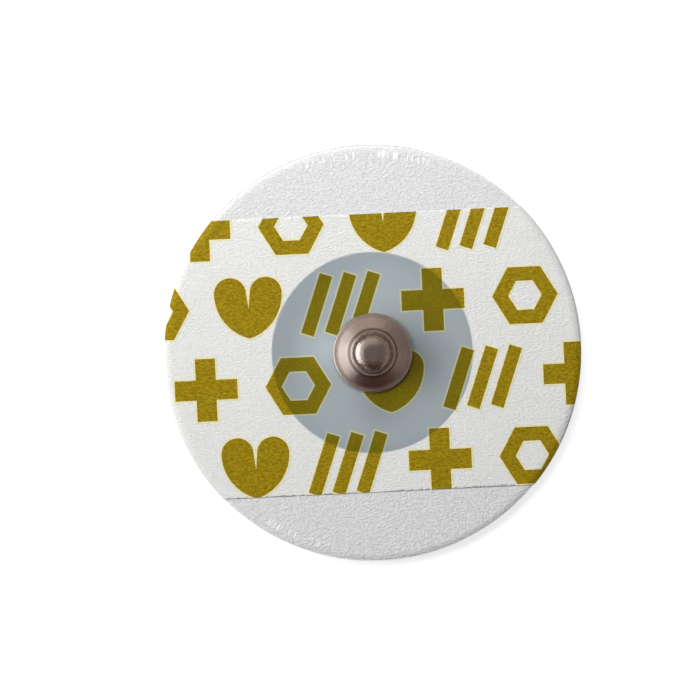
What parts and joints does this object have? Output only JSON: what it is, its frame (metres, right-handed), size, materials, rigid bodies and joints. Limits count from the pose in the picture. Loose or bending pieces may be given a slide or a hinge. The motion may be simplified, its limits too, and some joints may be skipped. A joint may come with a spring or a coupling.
{
  "type": "ecg electrode",
  "caption": "Round foam monitoring electrode with a printed label strip, a gel window and a metal snap stud for a clip-on lead.",
  "frame": {"origin": "middle of the pad's skin face, on the snap stud's axis", "axes": "+Z along the stud's axis, away from the skin; +X to the right, nearly along the label strip; +Y across the strip"},
  "size_m": [0.048, 0.048, 0.0046],
  "materials": {
    "adhesive": "clear tacky acrylic adhesive",
    "foam": "fine closed-cell polyethylene foam",
    "gel": "blue-grey gel sponge, moist",
    "sensor": "silver and silver-chloride coated moulding",
    "label": "satin translucent white film",
    "ink": "olive ink, slightly mottled",
    "stud": "drawn nickel plate with fine turning marks"
  },
  "bodies": {
    "root": {"skin_adhesive": "adhesive", "foam_pad": "foam", "gel_pad": "gel", "sensor_eyelet": "sensor", "label_film": "label", "label_print": "ink", "snap_stud": "stud"}
  },
  "joints": []
}
